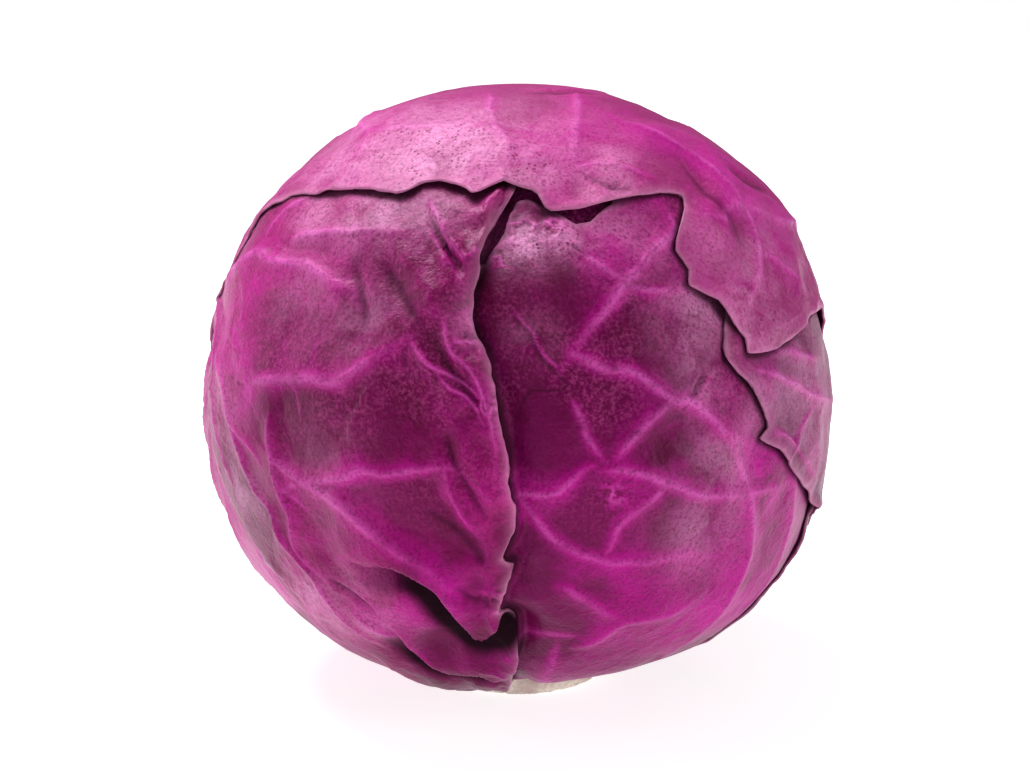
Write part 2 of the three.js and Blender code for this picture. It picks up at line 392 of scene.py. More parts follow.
VEINS = {
    "right_wrapper_leaf": (
        (1.9, 9.0, 1, (
            (37, 43), (35, 40), (28, 37), (24, 34), (20, 32), (16, 28), (12, 24), (9, 21), (6, 17),
        )),
        (1.1, 6.0, 0, ((13, 38), (15, 36), (20, 32), (27, 30), (38, 30))),
        (1.7, 8.0, -1, ((9, 21), (15, 18), (20, 17), (26, 12), (30, 11), (38, 4), (42, 2), (46, -2))),
        (1.9, 8.0, 1, ((26, 12), (23, 10), (18, 6), (15, 1))),
        (1.0, 5.0, 0, ((9, 13), (11, 8), (15, 1))),
        (1.7, 8.0, 0, ((15, 1), (18, 1), (21, 0), (25, -2), (28, -3), (32, -5), (46, -7), (60, -8))),
        (1.7, 6.0, 1, ((25, -2), (22, -4), (18, -7), (16, -10), (15, -14), (13, -18))),
        (1.2, 6.0, 0, ((-2, -3), (4, -3), (7, -2), (11, 2), (15, 1))),
        (1.4, 7.0, 1, (
            (0, -4), (3, -8), (6, -11), (10, -13), (15, -15), (22, -16), (30, -16), (40, -19),
        )),
        (1.2, 6.0, 1, ((7, -20), (9, -21), (14, -25), (19, -28), (24, -29))),
        (1.1, 7.0, -1, ((12, -36), (16, -34), (21, -29), (31, -28), (40, -22))),
        (0.9, 6.0, 0, ((6, -52), (7, -45), (8, -36), (7, -33))),
        (0.9, 6.0, 0, ((-2, -36), (7, -33), (15, -34))),
        (1.2, 8.0, 1, ((38, 4), (44, -10), (46, -24), (42, -38), (34, -50))),
        (1.0, 7.0, 0, ((56, -4), (60, -20), (58, -36), (50, -50))),
        (0.5, 0.9, 0, ((-1, 28), (2, 25), (5, 20), (9, 16))),
        (0.5, 0.9, 0, ((31, 11), (34, 14), (37, 16))),
    ),
    "left_wrapper_leaf": (
        (1.8, 8.0, -1, ((-56, 36), (-42, 39), (-32, 40), (-23, 41))),
        (2.0, 9.0, 1, ((-78, 24), (-66, 31), (-59, 31), (-48, 32), (-37, 30), (-33, 29), (-28, 23))),
        (2.0, 9.0, -1, ((-52, 11), (-39, 14), (-36, 14), (-32, 15), (-24, 20), (-20, 22), (-17, 20))),
        (1.7, 7.0, -1, (
            (-45, -7), (-41, -5), (-32, -2), (-27, 0), (-22, 0), (-13, 2), (-9, 0), (-3, -3),
        )),
        (1.9, 9.0, 1, ((-47, -1), (-40, -4), (-31, -6), (-25, -10), (-18, -14), (-10, -20), (-5, -24))),
        (2.1, 6.0, -1, (
            (-48, 5), (-47, 1), (-46, -3), (-45, -7), (-43, -11), (-44, -17), (-41, -21),
            (-37, -24),
        )),
        (1.2, 3.0, 0, ((-45, -6), (-41, -8), (-38, -10))),
        (1.6, 4.5, 1, (
            (-62, 6), (-58, -2), (-53, -9), (-49, -11), (-48, -16), (-42, -22), (-38, -30),
            (-31, -40),
        )),
        (1.6, 4.0, 0, ((-70, 12), (-63, 8), (-60, 2), (-53, -1), (-50, -4), (-46, -6))),
        (1.3, 2.2, 1, ((-19, 22), (-17, 20), (-14, 18), (-8, 15), (-4, 10))),
        (1.1, 2.0, 1, ((-14, 17), (-12, 15), (-8, 13), (-5, 7))),
        (1.2, 3.0, 0, ((-34, -30), (-30, -34), (-24, -37), (-18, -44))),
        (1.2, 5.0, 0, ((-84, 20), (-74, 14), (-70, 2), (-66, -8), (-58, -20))),
        (1.3, 2.6, -1, ((-22, 47), (-18, 43), (-14, 39), (-11, 36), (-9, 33))),
        (1.2, 5.0, 0, ((-62, 44), (-68, 36), (-66, 31))),
        (0.9, 3.0, 0, ((-14, 26), (-12, 21), (-7, 16), (-4, 5), (-5, -2))),
        (0.9, 3.0, 0, ((-13, 2), (-10, -6), (-6, -11))),
        (0.5, 0.9, 0, ((-43, 12), (-41, 8), (-40, 5))),
        (0.6, 1.2, 0, ((-20, 42), (-16, 38), (-12, 34))),
    ),
    "crown_leaf": (
        (1.3, 8.0, 0, ((56, 78), (40, 74), (23, 65), (15, 55), (10, 48))),
        (1.1, 6.0, 1, ((-30, 80), (-12, 68), (-4, 60), (-2, 53))),
        (1.4, 7.0, -1, ((-112, 62), (-84, 60), (-66, 60), (-56, 54), (-54, 49))),
        (1.0, 5.0, 0, ((-66, 60), (-40, 64), (-12, 68))),
        (1.3, 6.0, 0, ((63, 41), (56, 42), (52, 40), (46, 43), (42, 48))),
        (1.3, 6.0, 1, ((63, 41), (58, 33), (50, 27), (44, 24))),
        (1.1, 7.0, 0, ((63, 41), (62, 52), (50, 64), (40, 74))),
        (1.3, 6.0, -1, ((63, 41), (74, 36), (90, 32), (110, 26))),
        (1.0, 5.0, 0, ((58, 33), (66, 27), (72, 22))),
        (0.8, 5.0, 0, ((15, 55), (28, 55), (42, 48))),
    ),
    "right_side_leaf": (
        (1.2, 5.0, 0, ((46, 14), (56, 10), (68, 4), (84, 0))),
        (1.1, 4.0, 0, ((54, -3), (60, 2), (68, 4))),
        (1.0, 5.0, 0, ((50, 18), (60, 14), (74, 10))),
        (0.9, 3.0, 1, ((49, 3), (53, 1), (60, -5), (68, -12))),
    ),
    "right_back_leaf": (
        (0.9, 4.0, 0, ((76, -52), (78, -38), (80, -26), (79, -12))),
    ),
    "left_back_leaf": (),
}

# Midribs of the leaves seen from behind, from the stem up, with the side veins' length in degrees.
MIDRIBS = {
    "crown_leaf": (((178, -71), (176, -50), (174, -25), (176, 5), (-178, 35), (-165, 60)), 66),
    "left_back_leaf": (((-84, -70), (-90, -50), (-96, -25), (-99, 5), (-100, 32)), 44),
    "right_side_leaf": (((136, -71), (132, -50), (126, -25), (118, 0), (108, 22)), 40),
    "right_back_leaf": (((101, -71), (102, -52), (103, -30), (104, -8)), 24),
}
VEIN_HEIGHT = 1.2               # scales every vein's height
SIDE_VEINS = 6                  # pairs of them on each midrib
MIDRIB_SHAPE = (2.6, 8.0, 0)
SIDE_VEIN_SHAPE = (1.9, 7.5, 1)

# A fold is (depth, lip, width, places): left of the line the leaf stands over its own lower part, which
# has painted shadow under the lip.
FOLDS = {
    "left_wrapper_leaf": (
        (5.8, 1.6, 8.5, (
            (-37, -16), (-34, -17), (-31, -17), (-27, -17), (-23, -16), (-19, -17), (-16, -19),
            (-14, -21), (-12, -25), (-10, -29), (-8, -32), (-5, -29), (-3, -25),
        )),
        (4.4, 1.2, 7.0, ((-29, -31), (-26, -34), (-23, -39), (-18, -44), (-10, -44), (-4, -47))),
    ),
}

# The dip beside the margin that ends the left wrapper, and other dips that every leaf follows.
SEAM = (
    (-6, 47), (-8, 40), (-9, 36), (-10, 31), (-9, 26), (-6, 20), (-3, 12), (-2, 4), (-1, -2),
    (0, -9), (-2, -14), (-1, -18), (-3, -22), (-3, -26), (0, -30), (0, -38), (-2, -47), (-4, -58),
)
SEAM_DEPTH = 3.0
SEAM_WIDTH = 5.5
DIPS = (
    (-18, -37, -2.6, 3.2),
    (-9, 25, -2.0, 2.6),
    (46, 16, -1.6, 4.0),
    (44, 0, -1.2, 4.0),
    (6, 46, -1.2, 4.0),
)

# A crease is (depth, half width, places): a thin valley with painted shade along it.
CREASES = {
    "left_wrapper_leaf": (
        (1.1, 2.4, ((-37, 36), (-33, 31), (-30, 26), (-29, 22))),
        (1.3, 2.6, ((-31, 36), (-28, 34), (-24, 31), (-20, 27), (-17, 23))),
        (1.2, 1.0, ((-22, 45), (-19, 42), (-16, 39), (-12, 35), (-11, 32))),
        (0.7, 0.8, ((-39, -22), (-35, -24), (-32, -26), (-29, -29))),
        (1.2, 1.8, ((-18, 25), (-14, 21), (-11, 17), (-6, 12))),
        (1.0, 1.6, ((-13, 10), (-11, 3), (-8, -2), (-5, -8))),
        (1.2, 2.2, ((-18, -5), (-12, -8), (-8, -12), (-5, -17))),
        (0.8, 1.4, ((-12, -18), (-8, -22), (-4, -24))),
    ),
    "right_wrapper_leaf": (
        (0.7, 0.7, ((29, 11), (32, 14), (35, 16))),
        (0.5, 0.5, ((10, 40), (13, 38), (15, 36))),
        (0.7, 0.7, ((-5, 30), (-1, 27), (2, 24), (4, 20), (8, 16), (6, 15), (2, 15), (0, 12), (-2, 4))),
    ),
    "crown_leaf": (
        (0.9, 1.6, ((10, 80), (22, 82), (54, 80), (87, 75))),
        (0.6, 1.2, ((18, 54), (24, 50), (31, 49))),
        (1.0, 2.0, ((54, 56), (53, 48), (55, 40), (52, 33))),
        (0.8, 1.5, ((70, 50), (76, 44), (86, 40))),
    ),
}

# A hollow is (longitude, latitude, height, width in degrees); a positive height is a swelling.
HOLLOW_DEPTH = 1.55             # scales them all
HOLLOWS = {
    "right_wrapper_leaf": (
        (12, 13, -1.0, 6), (20, 24, -1.2, 6), (14, -7, -0.9, 6), (23, 5, -0.6, 5),
        (34, 21, -0.8, 8), (4, 7, -0.9, 5), (6, 27, -0.8, 6), (34, -12, -0.6, 8), (8, -28, -0.8, 8),
        (44, -32, 0.8, 12), (0, 33, -1.5, 6), (1, 10, -1.5, 5), (1, -14, -1.5, 5),
        (2, -34, -1.5, 6), (28, -24, 0.7, 8),
    ),
    "left_wrapper_leaf": (
        (-48, 24, -0.7, 9), (-27, 9, -0.9, 10), (-40, 5, -0.6, 7), (-17, -6, -1.1, 7),
        (-62, 18, 0.6, 10), (-30, -12, 0.8, 8), (-20, -22, 0.9, 8), (-38, -30, 0.8, 8),
        (-14, 30, 0.6, 7), (-6, -2, 0.7, 5), (-56, -14, -0.8, 6), (-18, -36, -1.4, 3),
        (-30, 37, 0.5, 8), (-9, 24, -1.0, 2.6),
    ),
    "crown_leaf": (
        (-10, 62, 0.7, 12), (-40, 56, -0.5, 10), (30, 56, -0.6, 8), (40, 60, 0.6, 9),
        (50, 50, -0.9, 7), (55, 36, -0.8, 6), (52, 46, 0.6, 4), (70, 30, 0.6, 6), (47, 34, 0.7, 5),
        (0, 76, -0.7, 12), (-60, 66, 0.5, 12),
    ),
    "right_side_leaf": ((58, 4, -0.8, 5), (66, -6, 0.8, 6), (48, 12, 0.6, 4)),
}

# Torn, shredded places: longitude, latitude, width in degrees.
SHREDS = {
    "right_wrapper_leaf": ((1, 45, 3.5), (7, 43, 3.5), (-3, 39, 3.0), (16, -3, 2.5)),
    "left_wrapper_leaf": ((-9, 22, 3.0), (-5, 12, 3.0), (-4, -22, 2.5)),
}

# A patch is (longitude, latitude, amount, width in degrees) of pale wax with painted sheen, or of
# bright magenta.
# The pale patches are partly real wax, partly painted sheen on the crown's top and along the left
# wrapper's left rim.
WAX_AND_SHEEN_PATCHES = {
    "crown_leaf": (
        (-27, 58, 1.3, 15), (2, 56, 0.9, 8), (24, 54, 0.7, 9), (-60, 57, 1.0, 16), (50, 24, 0.9, 9),
        (44, 36, 0.4, 8), (60, 30, 0.5, 12), (-5, 70, 0.4, 14), (-80, 40, 0.6, 12),
    ),
    "left_wrapper_leaf": (
        (-37, 44, 0.9, 7), (-54, 42, 0.7, 7), (-20, 46, 0.7, 6), (-30, 24, 0.4, 7),
        (-46, 27, 0.4, 7), (-66, 4, 0.6, 8), (-60, -10, 0.7, 8), (-46, -30, 0.7, 9),
        (-30, -34, 0.5, 7), (-8, 26, 0.5, 4), (-32, -22, 0.3, 6), (-80, 25, 0.7, 9),
        (-36, -2, 0.25, 9),
    ),
    "right_wrapper_leaf": (
        (1, 40, 1.3, 4.5), (9, 41, 1.1, 4), (20, 42, 0.5, 7), (26, 37, 0.4, 6), (35, 24, 0.9, 7),
        (33, 16, 0.6, 5), (36, 0, 0.5, 8), (34, -12, 0.5, 8), (36, 14, 0.7, 7), (2, 24, 0.3, 4),
        (45, 6, 0.4, 6),
    ),
    "right_side_leaf": ((60, 4, 0.5, 14), (46, 10, 0.5, 5)),
    "right_back_leaf": ((80, -30, 0.2, 12),),
    "left_back_leaf": ((-70, 10, 0.3, 20),),
}
MAGENTA = {
    "crown_leaf": (
        (10, 68, 0.5, 12), (66, 44, 1.2, 13), (58, 36, 0.5, 7), (-15, 72, 0.4, 12),
        (58, 60, 0.7, 12),
    ),
    "left_wrapper_leaf": (
        (-61, 12, 1.3, 5), (-65, 17, 1.3, 5), (-56, 8, 1.2, 4), (-60, 27, 0.6, 6),
        (-27, -2, 0.5, 8), (-18, -14, 0.5, 8), (-10, -33, 0.6, 5), (-25, -30, 0.7, 7),
        (-12, -22, 0.6, 6), (-40, -18, 0.5, 5), (-44, 26, 0.5, 8),
    ),
    "right_wrapper_leaf": (
        (46, -31, 1.0, 12), (34, -14, 0.6, 8), (60, -20, 0.9, 12), (18, -34, 0.4, 9),
        (15, -12, 0.8, 8), (46, -2, 1.0, 9), (50, -10, 0.9, 9), (18, 40, 0.5, 5), (4, 30, 0.3, 5),
        (8, 2, 0.5, 7),
    ),
    "left_back_leaf": ((-50, -40, 1.0, 40),),
    "right_side_leaf": ((48, 4, 0.3, 4),),
}


def side_veins(midrib, length):
    """Pairs of curved side veins that leave a midrib and lean towards the leaf's tip."""
    rib = Line(towards(midrib))
    veins = []
    for number in range(SIDE_VEINS):
        share = 0.16 + 0.74 * number / SIDE_VEINS
        for hand in (-1, 1):
            start_share = share + 0.05 * (hand > 0)
            index = np.searchsorted(rib.starts, start_share * rib.starts[-1])
            point = rib.points[index]
            ahead = unit(rib.points[index + 1] - rib.points[index - 1])
            outwards = hand * np.cross(ahead, point)
            route = []
            for part in np.linspace(0, 1, 6):
                lean = math.radians(length) * part * (1 - 0.35 * start_share)
                turn = unit(outwards * (1 - 0.35 * part) + ahead * (0.35 + 0.55 * part))
                route.append(unit(point * math.cos(lean) + turn * math.sin(lean)))
            veins.append(route)
    return rib, veins


def with_lines(rows):
    """Rows of a table whose last entries, the places, are made into lines."""
    return [(*shape, Line(towards(places))) for *shape, places in rows]


def prepare_veins(name):
    """All the veins of a leaf as (height, half width, steeper side, line)."""
    veins = with_lines(VEINS[name])
    if name in MIDRIBS:
        rib, sides = side_veins(*MIDRIBS[name])
        veins.append((*MIDRIB_SHAPE, rib))
        veins.extend((*SIDE_VEIN_SHAPE, Line(np.array(route))) for route in sides)
    return veins


SEAM_LINE = Line(towards(SEAM))


def seam_side(directions):
    """Distance from the seam in mm, positive on its left wrapper side, negative beyond it."""
    away, side, _ = SEAM_LINE.measure(directions, 40)
    return -side * away


for name, leaf in LEAVES.items():
    leaf["veins"] = prepare_veins(name)
    leaf["folds"] = with_lines(FOLDS.get(name, ()))
    leaf["creases"] = with_lines(CREASES.get(name, ()))
    leaf["noise"] = Noise(leaf["seed"])


def network(directions, noise, size):
    """Fine net veins: how close each direction is to the border between cells of a rough size."""
    warp = np.stack([noise(directions + shift, size * 1.5) for shift in (0, 3, 7)], 1)
    points = directions * HEAD_RADIUS + warp * size * 0.35
    where = points / size + 200
    cell = np.floor(where).astype(int)
    nearest = np.full(len(points), 9.0)
    second = np.full(len(points), 9.0)
    for offset in np.ndindex(3, 3, 3):
        index = cell + np.array(offset) - 1
        wrapped = (index % 31).T
        jitter = np.stack([noise.lattice[tuple(np.roll(wrapped, -turn, 0))] for turn in range(3)], 1)
        away = np.linalg.norm(where - index - 0.5 - 0.45 * jitter, axis=1)
        second = np.minimum(second, np.maximum(nearest, away))
        nearest = np.minimum(nearest, away)
    return 1 - smoothstep((second - nearest) * size, 0, size * 0.16)


def ridges(noise, directions, size, sharpness):
    """Noise folded at zero, so that it has sharp ridges: 1 on a ridge, falling away from it."""
    return 1 - sharpness * np.abs(noise(directions, size, 3))


def vein_relief(leaf, directions):
    """Veins as tents with a fine core: their height in mm and how pale they are."""
    height = np.zeros(len(directions))
    pale = np.zeros(len(directions))
    wobble = 0.5 * leaf["noise"](directions, 6.0, 2)
    for tall, width, steep, line in leaf["veins"]:
        away, side, passed = line.measure(directions, 4 * width)
        away = np.abs(away * side + wobble)
        taper = smoothstep(passed, -0.2, 0.15) * (1 - 0.8 * smoothstep(passed, 0.5, 1.02))
        broad = np.where(side * steep > 0, 0.42 * width, width)
        tent = np.exp(-(away / broad) ** 1.1)
        core = np.exp(-(away / (0.09 * width + 0.25)) ** 2)
        height = np.maximum(height, VEIN_HEIGHT * tall * taper * (0.86 * tent + 0.14 * core))
        band = np.exp(-(away / (0.24 * width + 0.2)) ** 1.2) * (0.5 + 0.25 * tall)
        pale = np.maximum(pale, taper * (0.7 * band + 0.3 * core))
    return height, pale


def crease_relief(leaf, directions):
    """Creases as valleys with low shoulders: their height in mm and their painted shade."""
    height = np.zeros(len(directions))
    dark = np.zeros(len(directions))
    for depth, width, line in leaf["creases"]:
        away, _, passed = line.measure(directions, 5 * width)
        ends = smoothstep(passed, 0, 0.3) * (1 - smoothstep(passed, 0.7, 1))
        valley = np.exp(-(away / width) ** 1.5) * ends
        shoulder = np.exp(-((away - 2.2 * width) / width) ** 2) * ends
        height += 0.4 * depth * shoulder - depth * valley
        # Painted shade along the valley's bottom.
        dark = np.maximum(dark, 0.5 * np.exp(-(away / (0.5 * width)) ** 2) * ends)
    return height, dark


def relief(name, directions, inside, fine=True):
    """Height in mm that a leaf's face stands above its smooth form, with its vein map and its map of
    painted shade in the creases.
    """
    leaf = LEAVES[name]
    noise = leaf["noise"]
    height, vein = vein_relief(leaf, directions)
    crease_height, dark = crease_relief(leaf, directions)
    height += crease_height
    for longitude, latitude, tall, width in HOLLOWS.get(name, ()):
        height += HOLLOW_DEPTH * tall * bump(directions, (longitude, latitude), width)
    behind = smoothstep(directions[:, 1], 0.0, 0.5)
    height += (0.6 + 0.5 * behind) * noise(directions, 26.0, 2)
    near_margin = np.exp(-np.maximum(inside, 0) / 8.0)
    crumple = 1 - 2.2 * np.abs(noise(directions + 5, 10.0, 2))
    height += (0.12 + 0.5 * near_margin) * crumple
    for longitude, latitude, width in SHREDS.get(name, ()):
        torn = bump(directions, (longitude, latitude), width)
        shreds = ridges(noise, directions + 11, 4.0, 2.4)
        height += 0.8 * torn * shreds
        vein = np.maximum(vein, torn * smoothstep(shreds, 0.2, 0.9))
    if name == "left_wrapper_leaf":
        by_seam = np.exp(-np.abs(seam_side(directions)) / 8.0)
        pleats = ridges(noise, directions * (1, 1, 0.8) + 3, 9.0, 2.4)
        height += 0.9 * by_seam * pleats
        vein = np.maximum(vein, 0.4 * by_seam * smoothstep(pleats, 0.55, 1.0))
    if fine:
        net = network(directions, noise, 13.0)
        height += 0.08 * net + 0.05 * noise(directions + 9, 2.4, 2)
        vein = np.maximum(vein, 0.12 * net)
    return height, vein, dark


def fold_ends(passed):
    """1 along a fold and 0 at its ends, by the share of the fold that is passed."""
    return smoothstep(passed, 0.0, 0.45) * (1 - smoothstep(passed, 0.9, 1.0))


def dips(directions):
    """Dips that go down through the pile: beside the seam, under the folds and at small pits."""
    height = np.zeros(len(directions))
    across = seam_side(directions)
    height -= SEAM_DEPTH * np.exp(-(across / SEAM_WIDTH) ** 2) * smoothstep(-across, -0.6, 1.2)
    for longitude, latitude, tall, width in DIPS:
        height += tall * bump(directions, (longitude, latitude), width)
    for name in ORDER:
        for depth, _, width, line in LEAVES[name]["folds"]:
            away, side, passed = line.measure(directions, 30)
            ends = fold_ends(passed)
            below = smoothstep(-side * away, -0.8, 0.8)
            height -= ends * depth * below * np.exp(-(away / width) ** 2)
    return height


def fold_shape(name, directions):
    """The folds' lip, the painted shadow under it, and how far the lip leans over the fold, as vectors
    in mm.
    """
    height = np.zeros(len(directions))
    dark = np.zeros(len(directions))
    lean = np.zeros((len(directions), 3))
    for _, lip, width, line in LEAVES[name]["folds"]:
        away, side, passed = line.measure(directions, 30)
        ends = fold_ends(passed)
        across = side * away
        height += ends * lip * np.exp(-(away / 6.0) ** 2) * smoothstep(across, -0.8, 0.8)
        # Painted shadow on the leaf's lower part, under the lip.
        shadow = smoothstep(-across, -0.2, 1.0)
        shadow *= 1 - smoothstep(-across, 0.85 * width, 1.3 * width)
        dark = np.maximum(dark, ends * shadow)
        step = 0.01
        slope = np.zeros((len(directions), 3))
        for shift in (1, 2):
            moved = unit(directions + step * np.roll(directions, shift, 1))
            new_away, new_side, _ = line.measure(moved, 30)
            slope += (across - new_side * new_away)[:, None] * (moved - directions)
        slope -= (slope * directions).sum(1)[:, None] * directions
        slope = slope / np.maximum(np.linalg.norm(slope, axis=1, keepdims=True), 1e-9)
        over = ends * smoothstep(across, -1.0, 1.0) * np.exp(-np.abs(across) / 4.0) * 1.6
        lean += slope * over[:, None]
    return height, dark, lean


# ----------------------------------------------------------------------
# Stack the leaves on the globe: each one's smooth face, and the top of the pile after it.


def stack_leaves():
    """Give each leaf its floor, what covers it and the pile below it; return the heart's face."""
    directions = GLOBE.directions
    layers = sum(smoothstep(leaf["inside"], -LEVELLING_WIDTH, LEVELLING_WIDTH)
                 for leaf in LEAVES.values())
    face = head_radius(directions) - LEAF_PITCH * layers + dips(directions)
    heart_face = face + 0.4 * Noise(3)(directions, 20.0, 2)
    top = heart_face
    for order, name in enumerate(ORDER):
        leaf = LEAVES[name]
        inside = leaf["inside"]
        height, _, _ = relief(name, directions, inside, fine=False)
        bend, _, _ = fold_shape(name, directions)
        covered = np.zeros(len(directions))
        for above in ORDER[order + 1:]:
            covered = np.maximum(covered, smoothstep(LEAVES[above]["inside"], -2, 7))
        leaf["covered"] = covered
        leaf["floor"] = face + LEAF_GAP
        leaf["below"] = top
        showing = 1 - (1 - COVERED_RELIEF) * covered
        lifted = leaf["floor"] + LEAF_THICKNESS + (height + bend) * showing
        lifted = np.maximum(lifted, top + LEAF_PITCH - 0.35)
        top = np.where(inside > 0, lifted, top)
        face = face + LEAF_PITCH * smoothstep(inside, -STEP_WIDTH, -STEP_START)
    return heart_face


HEART_FACE = stack_leaves()

# ----------------------------------------------------------------------
# Meshes.


def place(directions, radius):
    """Points in metres at distances in mm from the head's centre, kept off the floor."""
    points = directions * radius[:, None]
    points[:, 2] += CENTRE_HEIGHT
    points[:, 2] = np.maximum(points[:, 2], LOWEST_LEAF)
    return points * MM


def make_object(name, points, faces, attributes=None):
    mesh = bpy.data.meshes.new(name)
    mesh.from_pydata(points.tolist(), [], faces)
    for key, values in (attributes or {}).items():
        layer = mesh.attributes.new(key, "FLOAT", "POINT")
        layer.data.foreach_set("value", np.ascontiguousarray(values, np.float32))
    mesh.shade_smooth()
    mesh.update()
    piece = bpy.data.objects.new(name, mesh)
    bpy.context.scene.collection.objects.link(piece)
    return piece


def grid_faces(steps, first=0, flip=False):
    """Quads of a square grid of points, numbered row by row."""
    row = np.arange(steps)
    corner = (row[:, None] * (steps + 1) + row[None, :]).ravel() + first
    quads = np.stack([corner, corner + 1, corner + steps + 2, corner + steps + 1], 1)
    half = steps / 2
    turned = ((row[:, None] < half) != (row[None, :] < half)).ravel()
    quads[turned] = np.roll(quads[turned], -1, axis=1)
    return quads[:, ::-1] if flip else quads


def border(steps, first=0):
    """The grid's border points in order, counter-clockwise."""
    side = np.arange(steps)
    width = steps + 1
    bottom = side
    right = side * width + steps
    up = steps * width + (steps - side)
    left = (steps - side) * width
    return np.concatenate([bottom, right, up, left]) + first


INNER_RATIO = 4                 # this many of the outer face's quads lie along one of the inner's


def sparse(values, steps):
    """Every INNER_RATIO-th value of a grid, both ways."""
    grid = values.reshape(steps + 1, steps + 1, -1)[::INNER_RATIO, ::INNER_RATIO]
    return grid.reshape(-1, *values.shape[1:])


def rim_of(steps):
    """Which of a grid's points are on its border."""
    rim = np.zeros((steps + 1, steps + 1), bool)
    rim[[0, -1], :] = True
    rim[:, [0, -1]] = True
    return rim.ravel()


def lowest_nearby(values, steps, rim):
    """Each grid point's lowest value within one coarse quad of it; the border keeps its own."""
    grid = values.reshape(steps + 1, steps + 1)
    lowest = grid.copy()
    for shift in range(-INNER_RATIO, INNER_RATIO + 1):
        lowest = np.minimum(lowest, np.roll(grid, shift, 0))
        lowest = np.minimum(lowest, np.roll(grid, shift, 1))
    return np.where(rim, values, lowest.ravel())


def margin_faces(outer_ring, inner_ring):
    """Faces that join the fine border of the outer face to the coarse one of the inner face."""
    faces = []
    middle = INNER_RATIO // 2
    for index, start in enumerate(inner_ring):
        end = inner_ring[(index + 1) % len(inner_ring)]
        numbers = np.arange(index * INNER_RATIO, (index + 1) * INNER_RATIO + 1)
        run = outer_ring[numbers % len(outer_ring)]
        for part in range(INNER_RATIO):
            held = start if part < middle else end
            faces.append([int(run[part + 1]), int(run[part]), int(held)])
        faces.append([int(run[middle]), int(start), int(end)])
    return faces


def patches(rows, directions):
    """The strongest of some rounded patches at each direction."""
    total = np.zeros(len(directions))
    for longitude, latitude, amount, size in rows:
        total = np.maximum(total, amount * bump(directions, (longitude, latitude), size))
    return total


def shade_under_edges(name, directions):
    """Painted shadow: 1 under the leaves above and close beside their margins, 0 further away."""
    shaded = np.zeros(len(directions))
    for above in ORDER[ORDER.index(name) + 1:]:
        beyond = -GLOBE.read(LEAVES[above]["inside"], directions)
        shaded = np.maximum(shaded, 1 - smoothstep(beyond, 0.2, 2.2))
    return shaded


def leaf_mesh(name):
    """A thin closed sheet: a fine outer face, and a coarser inner face joined along the margin."""
    leaf = LEAVES[name]
    steps = leaf["steps"] - leaf["steps"] % INNER_RATIO
    directions = leaf["outline"].grid(steps, leaf["ragged"], leaf["noise"])
    rim = rim_of(steps)
    inside = np.maximum(GLOBE.read(leaf["inside"], directions), 0)
    inside[rim] = 0
    covered = GLOBE.read(leaf["covered"], directions)
    height, vein, dark = relief(name, directions, inside)
    bend, fold_shadow, lean = fold_shape(name, directions)
    showing = 1 - (1 - COVERED_RELIEF) * covered
    lean = lean * showing[:, None] * MM

    lift_noise = 0.55 + 0.9 * leaf["noise"](directions + 2, 16.0, 2)
    curl = leaf["lift"] * np.clip(lift_noise, 0.05, 1.6) * np.exp(-inside / 4.5) * (1 - covered)
    thickness = LEAF_THICKNESS * (0.62 + 0.38 * smoothstep(inside, 0, 5))
    rounding = 0.22 * np.exp(-(inside / 0.5) ** 2)
    floor = GLOBE.read(leaf["floor"], directions)
    outer = floor + LEAF_THICKNESS + (height + bend) * showing + curl - rounding
    outer = np.maximum(outer, GLOBE.read(leaf["below"], directions) + thickness + 0.2)
    outer_points = place(directions, outer) + lean

    inner = sparse(lowest_nearby(outer, steps, rim) - thickness, steps)
    inner_points = place(sparse(directions, steps), inner) + sparse(lean, steps)

    coarse = steps // INNER_RATIO
    count = len(outer_points)
    faces = grid_faces(steps).tolist()
    faces += grid_faces(coarse, count, flip=True).tolist()
    faces += margin_faces(border(steps), border(coarse, count))

    # Painted shade and shadow: in the creases, under the folds' lips and beside the margins of the
    # leaves above.
    shaded = 0.8 * shade_under_edges(name, directions)
    maps = {
        "vein": vein,
        "dark": np.maximum(np.maximum(dark, fold_shadow), shaded),
        "wax_and_sheen": patches(WAX_AND_SHEEN_PATCHES.get(name, ()), directions),
        "magenta": patches(MAGENTA.get(name, ()), directions),
        "edge": np.exp(-inside / 0.9),
        # The relief's height; the material paints shade into its low places.
        "raise": np.clip(height * 0.5, -1, 1),
    }
    attributes = {key: np.concatenate([values, sparse(values, steps)]) for key, values in maps.items()}
    points = np.concatenate([outer_points, inner_points])
    return make_object(name + "_blade", points, faces, attributes)


def ring_faces(rings, around, first_pole, last_pole):
    """Faces of a closed form made of rings of points and a pole at each end."""
    faces = []
    last = (rings - 1) * around
    for column in range(around):
        after = (column + 1) % around
        for low in range(0, last, around):
            high = low + around
            faces.append([low + column, low + after, high + after, high + column])
        faces.append([first_pole, after, column])
        faces.append([last_pole, last + column, last + after])
    return faces


def heart_mesh():
    """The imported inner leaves, seen only through gaps between the outer ones."""
    rings, around = 90, 180
    latitudes = np.linspace(-90, 90, rings + 1)[1:-1]
    longitudes = np.linspace(-180, 180, around + 1)[:-1]
    places = np.stack(np.meshgrid(longitudes, latitudes), -1).reshape(-1, 2)
    directions = np.concatenate([towards(places), towards([(0, -90), (0, 90)])])
    radius = GLOBE.read(HEART_FACE, directions) - HEART_CLEARANCE
    seat = np.full(len(radius), STEM_HEIGHT + HEART_CLEARANCE)
    radius = stop_at_underside(directions, radius, seat, HEART_CLEARANCE)
    faces = ring_faces(rings - 1, around, len(places), len(places) + 1)
    return make_object("heart_folds", place(directions, radius), faces)


